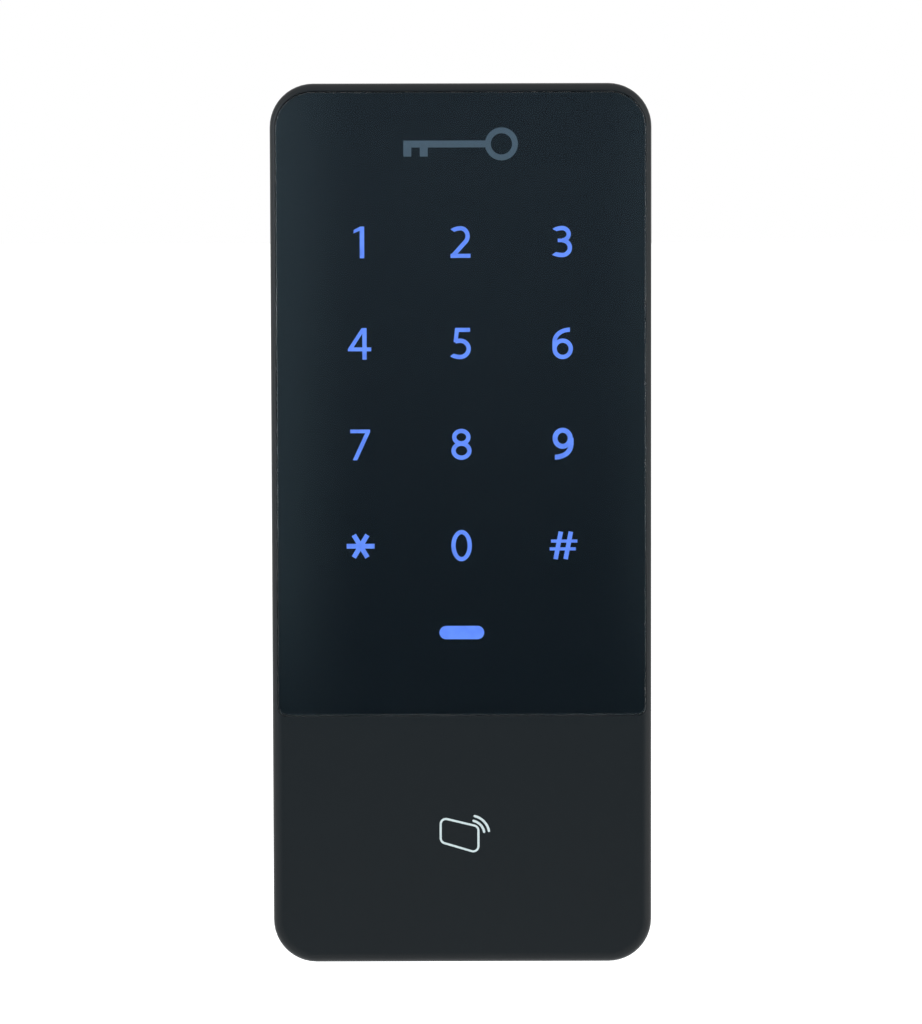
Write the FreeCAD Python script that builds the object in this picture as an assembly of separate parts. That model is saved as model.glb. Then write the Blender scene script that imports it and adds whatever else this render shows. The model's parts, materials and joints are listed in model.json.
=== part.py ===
"""Wall-mounted keypad access reader with a glass touch keypad, a card area below it and a steel wall bracket.

Frame: millimetres, +Z up, +X to the right of a person facing the keys, the wall plane at Y = 0 and the reader
in front of it towards -Y. The origin is the centre of the bracket's wall face.
Depths are written as distances from the wall, so a depth d lies at Y = -d.
"""

import FreeCAD, Part

import math
import os

# ---- driving dimensions: the housing ----
body_width = 72.0
body_height = 167.0
body_depth = 22.0
corner_radius = 8.2          # of the outline, seen from the front
front_edge_radius = 2.0      # where the front turns into the sides
rear_edge_radius = 1.6
split_depth = 10.5           # seam between the front housing and the rear case
seam_gap = 0.2
seam_step = 0.25             # the rear case stands this much inside the front housing's outline
front_wall = 2.0
liner = 4.8                  # from the outline to the inner cavity of the front housing
tongue_outer = 2.3           # the rear case's sealing tongue, measured in from the outline
tongue_inner = 3.5
tongue_height = 2.9
groove_gap = 0.1
gasket_height = 1.0

# ---- driving dimensions: the glass and what is stacked behind it ----
glass_width = 69.8
glass_top = 81.9
glass_bottom = -36.1
glass_top_radius = 6.8
glass_bottom_radius = 1.7
glass_edge_chamfer = 0.3
pocket_gap = 0.1
glass_thickness = 1.8
mask_thickness = 0.1
mask_inset = 0.3
tape_inset = 0.8
tape_thickness = 0.3
ledge_thickness = 1.4
film_thickness = 0.25
electrode_thickness = 0.05
touch_thickness = 1.0
baffle_depth = 4.0
board_thickness = 1.6

# ---- driving dimensions: keys, status light, emblem and card symbol ----
key_pitch = 19.15
top_key_row = 53.66
stroke = 0.82                # pen width of the key legends
status_width = 8.5
status_height = 2.55
status_level = -20.4
emblem_level = 72.1
symbol_level = -58.7
print_thickness = 0.05

# ---- driving dimensions: the back and the wall bracket ----
rear_rim = 0.3               # the rear case's rim stops this far from the wall
recess_depth = 4.2
recess_width = 62.5
recess_top = 79.4
recess_bottom = -77.4
recess_radius = 5.0
rear_floor = 2.2
steel = 1.2
bracket_width = 60.0
bracket_top = 70.0
bracket_bottom = -70.0
bracket_radius = 4.0
lift_travel = 6.5
hook_width = 8.0
hook_spread = 16.0
hook_foot = 52.0
hook_rise = 4.5
hook_gap = 0.3               # between the hook and the ledge that it holds
tab_width = 14.0
lip_top = -77.7
lip_reach = 8.6
screw_depth = 5.6            # of the lock screw's axis
wall_hole_radius = 2.25
wall_hole_spread = 22.0
wall_hole_level = 48.0
slot_radius = 2.1
slot_length = 9.0
slot_level = 41.65           # half of a single-gang box's 83.3 mm
cable_level = 19.0
cable_radius = 3.0
grommet_lip = 7.0
grommet_neck = 5.4
grommet_lip_thickness = 0.9
vent_hole_radius = 0.6
vent_ring = 2.0              # six of the vent's holes stand this far round the seventh
vent_centre = (-19.0, -18.0)
label_level = -20.0
header_level = -9.5
plunger_level = -59.5
plunger_travel = 2.0
plunger_radius = 2.5
guide_front = 7.0            # the rear case's guide for the plunger ends at this depth
flange_radius = 3.6
flange_thickness = 0.8
button_radius = 1.0

# ---- driving dimensions: fasteners and their bosses ----
case_screw = dict(head_radius=2.7, head_height=2.0, shank_radius=1.45, length=10.0)
board_screw = dict(head_radius=1.9, head_height=1.4, shank_radius=0.95, length=4.6)
screw_slot = 0.6             # width of the cross in their heads
screw_slot_depth = 0.8
head_sink = 2.4              # the case screws' heads rest this far in front of the recess floor
head_hole_radius = 2.9
shank_hole_radius = 1.7
case_boss_radius = 4.0       # in the rear case
housing_boss_radius = 3.25
case_pilot_radius = 1.47
case_pilot_front = 17.2
board_boss_radius = 2.4
board_pilot_radius = 0.97
board_pilot_depth = 3.3
lock_head_radius = 2.75
lock_head_height = 2.0
lock_shank_radius = 1.5
lock_shank_length = 8.0
insert_radius = 2.1
insert_bore = 1.52
insert_top = -70.7

# ---- depths worked out from the above ----
glass_back = body_depth - glass_thickness
mask_back = glass_back - mask_thickness
ledge_front = mask_back - tape_thickness
ledge_back = ledge_front - ledge_thickness
touch_back = ledge_front - touch_thickness
board_front = touch_back - baffle_depth
board_back = board_front - board_thickness
wall_inside = body_depth - front_wall
floor_inside = recess_depth + rear_floor
plunger_flange_front = guide_front + plunger_travel + flange_thickness
antenna_back = wall_inside - 0.8
insert_bottom = lip_top + 0.3
lip_bottom = lip_top - steel
rear_wall_end = split_depth - seam_gap

key_columns = (-key_pitch, 0.0, key_pitch)
key_rows = [top_key_row - key_pitch * row for row in range(4)]
case_screw_spots = [(x, z) for z in (74.5, -41.0, -74.5) for x in (-27.0, 27.0)]
board_screw_spots = [(-12.0, 73.0), (12.0, 73.0), (-22.0, -33.2), (22.0, -33.2)]
window = dict(width=61.8, top=67.0, bottom=-30.5, radius=2.0)


# ---- shape helpers ----
def point(x, z, depth=0.0):
    return FreeCAD.Vector(x, -depth, z)


def polar(radius, degrees):
    """The (x, z) place at that angle from the X axis."""
    angle = math.radians(degrees)
    return radius * math.cos(angle), radius * math.sin(angle)


def outline(corners, depth):
    """Closed wire through (x, z, radius) corners, each rounded to its own radius, at one depth."""
    edges, ends = [], []
    count = len(corners)
    for i in range(count):
        here = point(*corners[i][:2], depth)
        before = (point(*corners[i - 1][:2], depth) - here).normalize()
        after = (point(*corners[(i + 1) % count][:2], depth) - here).normalize()
        radius = corners[i][2]
        half = before.getAngle(after) / 2
        reach = radius / math.tan(half)
        if radius > 0:
            start, end = here + before * reach, here + after * reach
            middle = here + (before + after).normalize() * (radius / math.sin(half) - radius)
            edges.append(Part.Arc(start, middle, end).toShape())
        else:
            start = end = here
        ends.append((start, end))
    for i in range(count):
        start, end = ends[i][1], ends[(i + 1) % count][0]
        if start.distanceToPoint(end) > 1e-6:
            edges.append(Part.LineSegment(start, end).toShape())
    return Part.Wire(Part.__sortEdges__(edges))


def prism(corners, back, front):
    """Solid with that outline between two depths."""
    face = Part.Face(outline(corners, back))
    return face.extrude(FreeCAD.Vector(0, back - front, 0))


def rectangle(left, right, bottom, top, top_radius=0.0, bottom_radius=None):
    low = top_radius if bottom_radius is None else bottom_radius
    return [(left, bottom, low), (right, bottom, low), (right, top, top_radius), (left, top, top_radius)]


def block(width, height, back, front, radius=0.0, x=0.0, z=0.0):
    corners = rectangle(x - width / 2, x + width / 2, z - height / 2, z + height / 2, radius)
    return prism(corners, back, front)


def body_outline(inset):
    """The housing's outline, moved in by inset."""
    half_width, half_height = body_width / 2 - inset, body_height / 2 - inset
    radius = max(corner_radius - inset, 1.0)
    return rectangle(-half_width, half_width, -half_height, half_height, radius)


def ring(outer_inset, inner_inset, back, front):
    """Frame that follows the housing's outline between two insets."""
    return prism(body_outline(outer_inset), back, front).cut(prism(body_outline(inner_inset), back, front))


def disc(radius, back, front, x=0.0, z=0.0):
    return Part.makeCylinder(radius, front - back, point(x, z, back), FreeCAD.Vector(0, -1, 0))


def post(radius, bottom, top, depth, x=0.0):
    """Upright cylinder."""
    return Part.makeCylinder(radius, top - bottom, point(x, bottom, depth), FreeCAD.Vector(0, 0, 1))


def edges_at(shape, depth):
    """The edges that lie wholly at one depth."""
    return [edge for edge in shape.Edges if all(abs(v.Point.y + depth) < 1e-6 for v in edge.Vertexes)]


def joined(shapes):
    first, rest = shapes[0], shapes[1:]
    return first.multiFuse(rest).removeSplitter() if rest else first


def without(shape, cutters):
    return shape.cut(joined(cutters)) if len(cutters) == 1 else shape.cut(Part.makeCompound(cutters))


# ---- flat marks: legends, emblem and card symbol, drawn about (0, 0) between two depths ----
def bar(start, end, width, back, front):
    """Straight stroke with square ends."""
    (x0, z0), (x1, z1) = start, end
    length = math.hypot(x1 - x0, z1 - z0)
    side_x, side_z = (z0 - z1) / length * width / 2, (x1 - x0) / length * width / 2
    corners = [(x0 - side_x, z0 - side_z, 0), (x1 - side_x, z1 - side_z, 0),
               (x1 + side_x, z1 + side_z, 0), (x0 + side_x, z0 + side_z, 0)]
    return prism(corners, back, front)


def oval(x, z, half_width, half_height, back, front):
    if math.isclose(half_width, half_height):
        return disc(half_width, back, front, x, z)
    side, top = point(x + half_width, z, back), point(x, z + half_height, back)
    centre = point(x, z, back)
    long_end, short_end = (side, top) if half_width > half_height else (top, side)
    wire = Part.Wire(Part.Ellipse(long_end, short_end, centre).toShape())
    return Part.Face(wire).extrude(FreeCAD.Vector(0, back - front, 0))


def band(x, z, half_width, half_height, back, front, turn=None, width=stroke):
    """Oval stroke about a centre, whole or between two angles in degrees."""
    loop = oval(x, z, half_width + width / 2, half_height + width / 2, back, front)
    loop = loop.cut(oval(x, z, half_width - width / 2, half_height - width / 2, back, front))
    if turn is None:
        return loop
    start, end = turn
    steps = max(1, math.ceil((end - start) / 60))
    reach = 3.0
    fan = [(x, z, 0)]
    for i in range(steps + 1):
        out_x, out_z = polar(reach, start + (end - start) * i / steps)
        fan.append((x + half_width * out_x, z + half_height * out_z, 0))
    return loop.common(prism(fan, back, front))


def legend_strokes(key, back, front):
    """The pieces that make one key's legend, about 4 mm wide and 6 mm high."""
    span = (back, front)
    if key == "0":
        return [band(0, -0.05, 1.54, 2.56, *span)]
    if key == "1":
        stem = prism(rectangle(0.06, 0.91, -3.03, 2.95), *span)
        return [stem, prism([(-1.15, 1.65, 0), (0.2, 2.2, 0), (0.2, 2.95, 0), (-1.05, 2.33, 0)], *span)]
    if key == "2":
        return [band(-0.05, 1.1, 2.2, 1.47, *span, turn=(90, 135)),
                band(-0.05, 1.1, 1.33, 1.47, *span, turn=(-45, 90)),
                bar((0.9, 0.07), (-1.55, -2.65), stroke, *span),
                prism(rectangle(-1.96, 1.82, -3.0, -2.23), *span)]
    if key == "3":
        return [band(-0.02, 1.42, 1.95, 1.15, *span, turn=(90, 138)),
                band(-0.02, 1.42, 1.22, 1.15, *span, turn=(-90, 90)),
                bar((-0.86, 0.25), (0.0, 0.25), 0.68, *span),
                band(-0.02, -1.13, 1.45, 1.38, *span, turn=(-90, 90)),
                band(-0.02, -1.13, 2.5, 1.38, *span, turn=(-129, -90))]
    if key == "4":
        outer = [(-2.25, -1.45, 0), (0.47, -1.45, 0), (0.47, -3.03, 0), (1.29, -3.03, 0), (1.29, -1.45, 0),
                 (2.15, -1.45, 0), (2.15, -0.72, 0), (1.29, -0.72, 0), (1.29, 2.94, 0), (0.34, 2.94, 0),
                 (-2.25, -1.0, 0)]
        inner = [(-1.2, -0.72, 0), (0.47, -0.72, 0), (0.47, 1.85, 0)]
        return [prism(outer, *span).cut(prism(inner, *span))]
    if key == "5":
        stem = prism([(-1.43, 0.2, 0), (-0.66, 0.4, 0), (-0.38, 2.5, 0), (-1.12, 2.94, 0)], *span)
        return [stem, prism(rectangle(-1.12, 1.7, 2.17, 2.94), *span),
                band(-0.2, -1.03, 1.9, 1.54, *span, turn=(90, 122)),
                band(-0.2, -1.03, 1.62, 1.54, *span, turn=(-90, 90)),
                band(-0.2, -1.03, 2.3, 1.54, *span, turn=(-132, -90))]
    if key == "6":
        return [band(0.05, -1.07, 1.53, 1.54, *span), bar((-1.48, -1.07), (-1.48, 0.29), stroke, *span),
                band(1.42, 0.28, 2.9, 2.26, *span, turn=(90, 180))]
    if key == "7":
        return [prism([(-1.88, 2.19, 0), (0.95, 2.19, 0), (-1.43, -2.94, 0), (-0.57, -2.94, 0),
                       (1.88, 2.38, 0), (1.88, 2.88, 0), (-1.88, 2.88, 0)], *span)]
    if key == "8":
        return [band(0, 1.4, 1.33, 1.17, *span), band(0.02, -1.17, 1.5, 1.32, *span)]
    if key == "9":
        heavy = 0.95
        return [band(0.03, 1.13, 1.43, 1.52, *span, width=heavy),
                bar((1.55, 1.2), (1.55, -0.24), heavy + 0.15, *span),
                band(-1.45, -0.25, 3.0, 2.2, *span, turn=(-90, 0), width=heavy)]
    if key == "star":
        arms = [polar(2.65, 0), polar(2.5, 59), polar(2.5, 121)]
        return [bar((-x, -0.12 - z), (x, -0.12 + z), 0.92, *span) for x, z in arms]
    rails = [bar((-2.45, -0.72), (2.5, -0.72), 0.6, *span), bar((-2.2, 0.76), (2.8, 0.76), 0.6, *span)]
    return rails + [bar((x - 1.0, -2.68), (x, 2.56), 0.86, *span) for x in (-0.33, 1.57)]


def legend(key, back, front):
    row, column = {"star": (3, 0), "0": (3, 1), "hash": (3, 2)}.get(key) or divmod(int(key) - 1, 3)
    mark = joined(legend_strokes(key, back, front))
    mark.translate(point(key_columns[column], key_rows[row]))
    return mark


def status_window(back, front):
    return block(status_width, status_height, back, front, status_height / 2 - 0.01, 0.0, status_level)


def key_emblem(back, front):
    """Plain pictogram of a key, bow to the right."""
    bow_x, bow, shaft, end = 7.7, 3.1, 1.3, -10.8
    bit_height = 1.7
    pieces = [disc(bow, back, front, bow_x, 0).cut(disc(bow - 1.1, back, front, bow_x, 0)),
              prism(rectangle(end, bow_x - bow + 0.5, -shaft / 2, shaft / 2), back, front)]
    for x in (end, end + 3.1):
        pieces.append(prism(rectangle(x, x + 1.5, -shaft / 2 - bit_height, 0), back, front))
    mark = joined(pieces)
    mark.translate(point(0, emblem_level))
    return mark


def card_symbol():
    """Printed on the housing: a card seen at a slant, with two radio waves at its corner."""
    back, front = body_depth, body_depth + print_thickness
    half_line, corner, slant = 0.2, 1.0, 0.27
    middle = [(-4.42, -1.58), (2.76, -3.72), (2.76, 1.38), (-4.42, 3.11)]
    outer, inner = [], []
    for side, (x, z) in enumerate(middle):
        out_x = half_line * (-1 if x < 0 else 1)
        out_z = half_line * (-1 if side < 2 else 1) - slant * out_x
        outer.append((x + out_x, z + out_z, corner + half_line))
        inner.append((x - out_x, z - out_z, corner - half_line))
    pieces = [prism(outer, back, front).cut(prism(inner, back, front))]
    wave_x, wave_z, wave_width = 1.18, -0.17, 0.44
    for radius in (2.72, 3.65):
        wave = band(wave_x, wave_z, radius, radius, back, front, turn=(11, 76), width=wave_width)
        ends = [polar(radius, angle) for angle in (11, 76)]
        tips = [disc(wave_width / 2, back, front, wave_x + x, wave_z + z) for x, z in ends]
        pieces.append(joined([wave] + tips))
    symbol = Part.makeCompound(pieces)
    symbol.translate(point(0.3, symbol_level))
    return symbol


# ---- housing ----
def front_housing():
    shell = prism(body_outline(0), split_depth, body_depth)
    shell = shell.makeFillet(front_edge_radius, edges_at(shell, body_depth))
    half_width, half_height = body_width / 2 - liner, body_height / 2 - liner
    inner_radius = corner_radius - liner
    shelf = glass_bottom - 2.4       # the ledge under the glass's lower edge ends here
    upper_outline = rectangle(-half_width, half_width, shelf, half_height, inner_radius, 0)
    lower_outline = rectangle(-half_width, half_width, -half_height, shelf, 0, inner_radius)
    upper = prism(upper_outline, split_depth, ledge_back)
    lower = prism(lower_outline, split_depth, wall_inside)
    pocket = prism(glass_outline(-pocket_gap), ledge_front, body_depth + 1)
    opening = prism(window_outline(0), ledge_back - 1, ledge_front + 1)
    groove = ring(tongue_outer - groove_gap, tongue_inner + groove_gap, split_depth,
                  rear_wall_end + tongue_height + gasket_height)
    shell = without(shell, [upper, lower, pocket, opening, groove])
    bosses, pilots = [], []
    for x, z in case_screw_spots:
        bosses.append(disc(housing_boss_radius, split_depth, ledge_back if z > 0 else wall_inside, x, z))
        pilots.append(disc(case_pilot_radius, split_depth, case_pilot_front, x, z))
    for x, z in board_screw_spots:
        bosses.append(disc(board_boss_radius, board_front, ledge_back, x, z))
        pilots.append(disc(board_pilot_radius, board_front, board_front + board_pilot_depth, x, z))
    return without(joined([shell] + bosses), pilots)


def glass_outline(inset):
    """The glass's outline, moved in by inset."""
    half_width = glass_width / 2 - inset
    return rectangle(-half_width, half_width, glass_bottom + inset, glass_top - inset,
                     glass_top_radius - inset, glass_bottom_radius - inset)


def window_outline(grow):
    """The outline of the opening behind the glass, moved out by grow."""
    half_width = window["width"] / 2 + grow
    bottom, top = window["bottom"] - grow, window["top"] + grow
    return rectangle(-half_width, half_width, bottom, top, window["radius"] + grow)


def glass_panel():
    glass = prism(glass_outline(0), glass_back, body_depth)
    return glass.makeChamfer(glass_edge_chamfer, edges_at(glass, body_depth))


def ink_mask(windows):
    """Black print on the back of the glass, open where the legends, the status light and the emblem show."""
    return without(prism(glass_outline(mask_inset), mask_back, glass_back), windows)


def adhesive_frame():
    """Double-sided tape that holds the glass on the housing's ledge."""
    tape = prism(glass_outline(tape_inset), ledge_front, mask_back)
    return tape.cut(prism(window_outline(0.2), ledge_front, mask_back))


def rear_case():
    shell = prism(body_outline(seam_step), rear_rim, rear_wall_end)
    shell = shell.makeFillet(rear_edge_radius, edges_at(shell, rear_rim))
    tongue = prism(body_outline(tongue_outer), floor_inside, rear_wall_end + tongue_height)
    cavity = prism(body_outline(tongue_inner), floor_inside, rear_wall_end + tongue_height)
    recess_outline = rectangle(-recess_width / 2, recess_width / 2, recess_bottom, recess_top, recess_radius)
    recess = prism(recess_outline, 0, recess_depth)
    shell = without(joined([shell, tongue]), [cavity, recess])
    bosses, holes = [], []
    for x, z in case_screw_spots:
        bosses.append(disc(case_boss_radius, recess_depth, rear_wall_end, x, z))
        holes.append(disc(head_hole_radius, recess_depth - 1, recess_depth + head_sink, x, z))
        holes.append(disc(shank_hole_radius, recess_depth, rear_wall_end, x, z))
    for bosses_of, holes_of in (hook_pockets(), lip_notch()):
        bosses += bosses_of
        holes += holes_of
    # cable entry, tamper plunger guide and the buzzer's vent
    holes.append(disc(grommet_neck + 0.1, 0, floor_inside, 0, cable_level))
    holes.append(disc(grommet_lip + 0.1, 0, recess_depth + grommet_lip_thickness, 0, cable_level))
    bosses.append(disc(case_boss_radius, floor_inside, guide_front, 0, plunger_level))
    holes.append(disc(plunger_radius + 0.1, 0, guide_front + 0.1, 0, plunger_level))
    holes += [disc(vent_hole_radius, 0, floor_inside + 1, x, z) for x, z in vent_spots()]
    return without(joined([shell] + bosses), holes)


def hook_pockets():
    """Bosses and holes of the closed pockets that the bracket's hooks reach into."""
    wall, play = 1.2, 0.4
    half = hook_width / 2 + play
    low, high = hook_foot - lift_travel - 0.3, hook_foot + steel + hook_rise + play
    front = floor_inside + hook_gap + steel + play
    bosses, holes = [], []
    for x in (-hook_spread, hook_spread):
        outer = rectangle(x - half - wall, x + half + wall, low - wall, high + wall, 1.0)
        mouth = rectangle(x - half, x + half, low, hook_foot + steel + play / 2)
        bosses.append(prism(outer, floor_inside, front + wall))
        holes.append(prism(rectangle(x - half, x + half, low, high), floor_inside, front))
        holes.append(prism(mouth, recess_depth, floor_inside))
    return bosses, holes


def lip_notch():
    """Bosses and holes of the notch for the bracket's lip, and of the lock screw's boss above it."""
    wall = 1.5
    half = tab_width / 2 + 0.6
    bottom = -body_height / 2
    frame = rectangle(-half - wall, half + wall, bottom + 2.5, lip_top + 1.6)
    bosses = [prism(frame, recess_depth, rear_wall_end),
              post(insert_radius + wall, insert_bottom, insert_top + 3.2, screw_depth)]
    holes = [prism(rectangle(-half, half, bottom - 1, insert_bottom), 0, lip_reach + 0.4),
             prism(rectangle(-half, half, lip_top, recess_bottom + 1), 0, steel + 0.6),
             post(insert_radius, lip_top, insert_top + 0.5, screw_depth)]
    return bosses, holes


def vent_spots():
    x, z = vent_centre
    around = [polar(vent_ring, 60 * i) for i in range(6)]
    return [vent_centre] + [(x + out_x, z + out_z) for out_x, out_z in around]


def case_gasket():
    start = rear_wall_end + tongue_height
    return ring(tongue_outer, tongue_inner, start, start + gasket_height)


def cable_grommet():
    neck_back = recess_depth + grommet_lip_thickness
    front = floor_inside + 2 * grommet_lip_thickness
    outer = joined([disc(grommet_lip, recess_depth, neck_back, 0, cable_level),
                    disc(grommet_neck, neck_back, floor_inside, 0, cable_level),
                    disc(grommet_lip, floor_inside, front, 0, cable_level)])
    return outer.cut(disc(cable_radius, recess_depth, front, 0, cable_level))


# ---- wall bracket and its lock screw ----
def wall_bracket():
    half_width, half_tab = bracket_width / 2, tab_width / 2
    plate = prism(rectangle(-half_width, half_width, bracket_bottom, bracket_top, bracket_radius), 0, steel)
    tab = prism(rectangle(-half_tab, half_tab, lip_bottom, bracket_bottom + 5), 0, steel)
    lip = prism(rectangle(-half_tab, half_tab, lip_bottom, lip_top), 0, lip_reach)
    holes = [disc(wall_hole_radius, 0, steel, x, z)
             for x in (-wall_hole_spread, wall_hole_spread) for z in (-wall_hole_level, wall_hole_level)]
    for z in (-slot_level, slot_level):
        holes.append(block(2 * slot_radius, slot_length, 0, steel, slot_radius - 0.001, 0, z))
    holes.append(block(26.0, 26.0, 0, steel, 3.0, 0, cable_level))
    holes.append(block(34.0, 24.0, 0, steel, 3.0, 0, label_level))
    # the tamper plunger stays in this slot while the reader is lifted
    half = plunger_radius + 0.7
    slot = rectangle(-half, half, plunger_level - half, plunger_level + lift_travel + half, half - 0.01)
    holes.append(prism(slot, 0, steel))
    holes.append(post(lock_shank_radius + 0.2, lip_bottom, lip_top, screw_depth))
    hooks = []
    for x in (-hook_spread, hook_spread):
        window_above, hook = bracket_hook(x)
        holes.append(window_above)
        hooks += hook
    return joined([without(joined([plate, tab, lip]), holes)] + hooks)


def bracket_hook(x):
    """The window that one hook is bent out of, and the hook's foot and tip."""
    left, right = x - hook_width / 2, x + hook_width / 2
    foot_top = hook_foot + steel
    tip_back = floor_inside + hook_gap
    window_above = prism(rectangle(left - 0.5, right + 0.5, foot_top, foot_top + 11.0, 1.0), 0, steel)
    foot = prism(rectangle(left, right, hook_foot, foot_top), 0, tip_back + steel)
    tip = prism(rectangle(left, right, hook_foot, foot_top + hook_rise, 1.2, 0), tip_back, tip_back + steel)
    return window_above, [foot, tip]


def lock_screw():
    head_bottom = lip_bottom - lock_head_height
    head = post(lock_head_radius, head_bottom, lip_bottom, screw_depth)
    shank = post(lock_shank_radius, lip_bottom, lip_bottom + lock_shank_length, screw_depth)
    star_radius, lobe_radius, star_top = 0.9, 0.45, head_bottom + 1.2
    lobes = [polar(star_radius, 60 * i) for i in range(6)]
    drive = [post(lobe_radius, head_bottom, star_top, screw_depth + deeper, x) for x, deeper in lobes]
    drive.append(post(star_radius, head_bottom, star_top, screw_depth))
    return joined([head, shank]).cut(joined(drive))


def lock_insert():
    """Knurled brass nut in the rear case, taken as a plain sleeve."""
    sleeve = post(insert_radius, insert_bottom, insert_top, screw_depth)
    return sleeve.cut(post(insert_bore, insert_bottom, insert_top, screw_depth))


def screws(spots, seat, head_radius, head_height, shank_radius, length):
    """Pan-head screws driven from the back, their heads resting at the seat depth."""
    made = []
    back = seat - head_height
    slot_length, slot_front = head_radius * 1.2, back + screw_slot_depth
    for x, z in spots:
        head = disc(head_radius, back, seat, x, z)
        shank = disc(shank_radius, seat, seat + length, x, z)
        slots = [block(slot_length, screw_slot, back, slot_front, 0, x, z),
                 block(screw_slot, slot_length, back, slot_front, 0, x, z)]
        made.append(joined([head, shank]).cut(joined(slots)))
    return Part.makeCompound(made)


# ---- tamper plunger, its spring and switch ----
def tamper_plunger():
    shoulder = guide_front + plunger_travel
    wall_gap = 0.05
    return joined([disc(plunger_radius, wall_gap, shoulder, 0, plunger_level),
                   disc(flange_radius, shoulder, plunger_flange_front, 0, plunger_level)])


def tamper_spring():
    """Coil spring, swept along short straight runs so that its mesh stays small and closed."""
    radius, wire, turns, runs_per_turn = 3.0, 0.35, 3.5, 16
    back, front = plunger_flange_front + wire / 2, board_back - wire / 2
    runs = int(turns * runs_per_turn)
    stops = []
    for i in range(runs + 1):
        x, z = polar(radius, 360 * turns * i / runs)
        stops.append(point(x, plunger_level + z, back + (front - back) * i / runs))
    path = Part.Wire([Part.LineSegment(start, end).toShape() for start, end in zip(stops, stops[1:])])
    section = Part.Wire(Part.makeCircle(wire / 2, stops[0], stops[1] - stops[0]))
    square_corners = 1
    return path.makePipeShell([section], True, False, square_corners)


def tamper_switch():
    back = plunger_flange_front + 0.8
    body = block(3.4, 3.4, back, board_back, 0.3, 0, plunger_level)
    return body.cut(disc(button_radius + 0.05, back, board_back - 0.2, 0, plunger_level))


def tamper_button():
    return disc(button_radius, plunger_flange_front, board_back - 0.3, 0, plunger_level)


# ---- light and touch stack ----
def diffuser_film():
    return prism(rectangle(-30.4, 30.4, -29.9, 66.4, 1.5), ledge_front + electrode_thickness, mask_back)


def touch_board():
    board = prism(rectangle(-30.6, 30.6, -30.2, 66.7, 1.8), touch_back, ledge_front)
    holes = [block(8.0, 9.0, touch_back, ledge_front, 1.0, x, z) for x in key_columns for z in key_rows]
    holes.append(block(11.0, 4.4, touch_back, ledge_front, 1.0, 0, status_level))
    return without(board, holes)


def touch_electrodes():
    pads = []
    for x in key_columns:
        for z in key_rows:
            pad = block(15.0, 15.0, ledge_front, ledge_front + electrode_thickness, 2.0, x, z)
            pads.append(pad.cut(block(9.4, 10.4, ledge_front, ledge_front + electrode_thickness, 1.2, x, z)))
    return Part.makeCompound(pads)


def light_baffle():
    """White frame that keeps each key's light to its own cell."""
    cell = key_pitch - 1.55
    wall = 1.5
    half_width = key_pitch + cell / 2 + wall
    outer = rectangle(-half_width, half_width, status_level - 4.5 - wall, key_rows[0] + cell / 2 + wall, 1.5)
    frame = prism(outer, board_front, touch_back)
    cells = [block(cell, cell, board_front, touch_back, 0.8, x, z) for x in key_columns for z in key_rows]
    cells += [block(cell, 6.2, board_front, touch_back, 0.8, x, status_level - 1.0) for x in key_columns]
    return without(frame, cells)


def main_board():
    board = prism(rectangle(-30.4, 30.4, -37.0, 77.5, 1.5), board_back, board_front)
    tongue = prism(rectangle(-8.0, 8.0, plunger_level - 7.0, -36.0, 0, 1.5), board_back, board_front)
    notches = [block(9.0, 9.0, board_back, board_front, 1.0, x, z + 1.0) for x, z in case_screw_spots[:2]]
    holes = [disc(1.2, board_back, board_front, x, z) for x, z in board_screw_spots]
    return without(joined([board, tongue]), notches + holes)


def key_leds():
    return Part.makeCompound([block(3.0, 2.8, board_front, board_front + 1.4, 0.3, x, z - 5.0)
                              for x in key_columns for z in key_rows])


def status_leds():
    return Part.makeCompound([block(1.6, 1.6, board_front, board_front + 0.8, 0.2, x, status_level)
                              for x in (-3.2, 0, 3.2)])


def board_header():
    """Pin header that joins the touch board to the main board."""
    return block(18.0, 2.1, board_front, touch_back, 0, 0, -28.8)


# ---- parts on the back of the main board ----
def on_back(width, height, thickness, x, z, radius=0.2, standoff=0.0):
    return block(width, height, board_back - standoff - thickness, board_back - standoff, radius, x, z)


chips = {
    "controller_chip": dict(size=(10.0, 10.0, 1.4), spot=(15.0, 3.0), legs=12, pitch=0.65, sides=4),
    "touch_chip": dict(size=(7.0, 7.0, 1.2), spot=(16.0, 26.0), legs=8, pitch=0.7, sides=4),
    "card_reader_chip": dict(size=(5.0, 5.0, 0.9), spot=(10.0, -24.0), legs=6, pitch=0.65, sides=4),
    "bus_driver_chip": dict(size=(3.9, 5.0, 1.5), spot=(-17.0, 12.0), legs=4, pitch=1.27, sides=2),
    "power_chip": dict(size=(6.5, 3.6, 1.6), spot=(-17.0, 31.0), legs=4, pitch=0.95, sides=2),
}


def chip(size, spot, **_):
    width, height, thickness = size
    return on_back(width, height, thickness, *spot, standoff=0.15)


def chip_legs():
    """The tinned legs of all the chips."""
    legs = []
    reach, thick = 0.9, 0.15
    for facts in chips.values():
        width, height, _ = facts["size"]
        x, z = facts["spot"]
        for i in range(facts["legs"]):
            along = (i - (facts["legs"] - 1) / 2) * facts["pitch"]
            for side in (-1, 1):
                legs.append(on_back(reach, 0.3, thick, x + side * width / 2, z + along, 0))
                if facts["sides"] == 4:
                    legs.append(on_back(0.3, reach, thick, x + along, z + side * height / 2, 0))
    return Part.makeCompound(legs)


def chip_passives():
    """Small ceramic capacitors and resistors."""
    rows = [(x, z) for x in (4.0, 6.6, 24.4, 27.0) for z in (-4.5, -1.0, 2.5, 6.0, 9.5)]
    rows += [(x, z) for x in (-26.5, -24.0) for z in (-2.0, 1.5, 5.0, 22.0, 25.5, 29.0)]
    return Part.makeCompound([on_back(1.6, 0.8, 0.5, x, z, 0) for x, z in rows])


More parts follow.
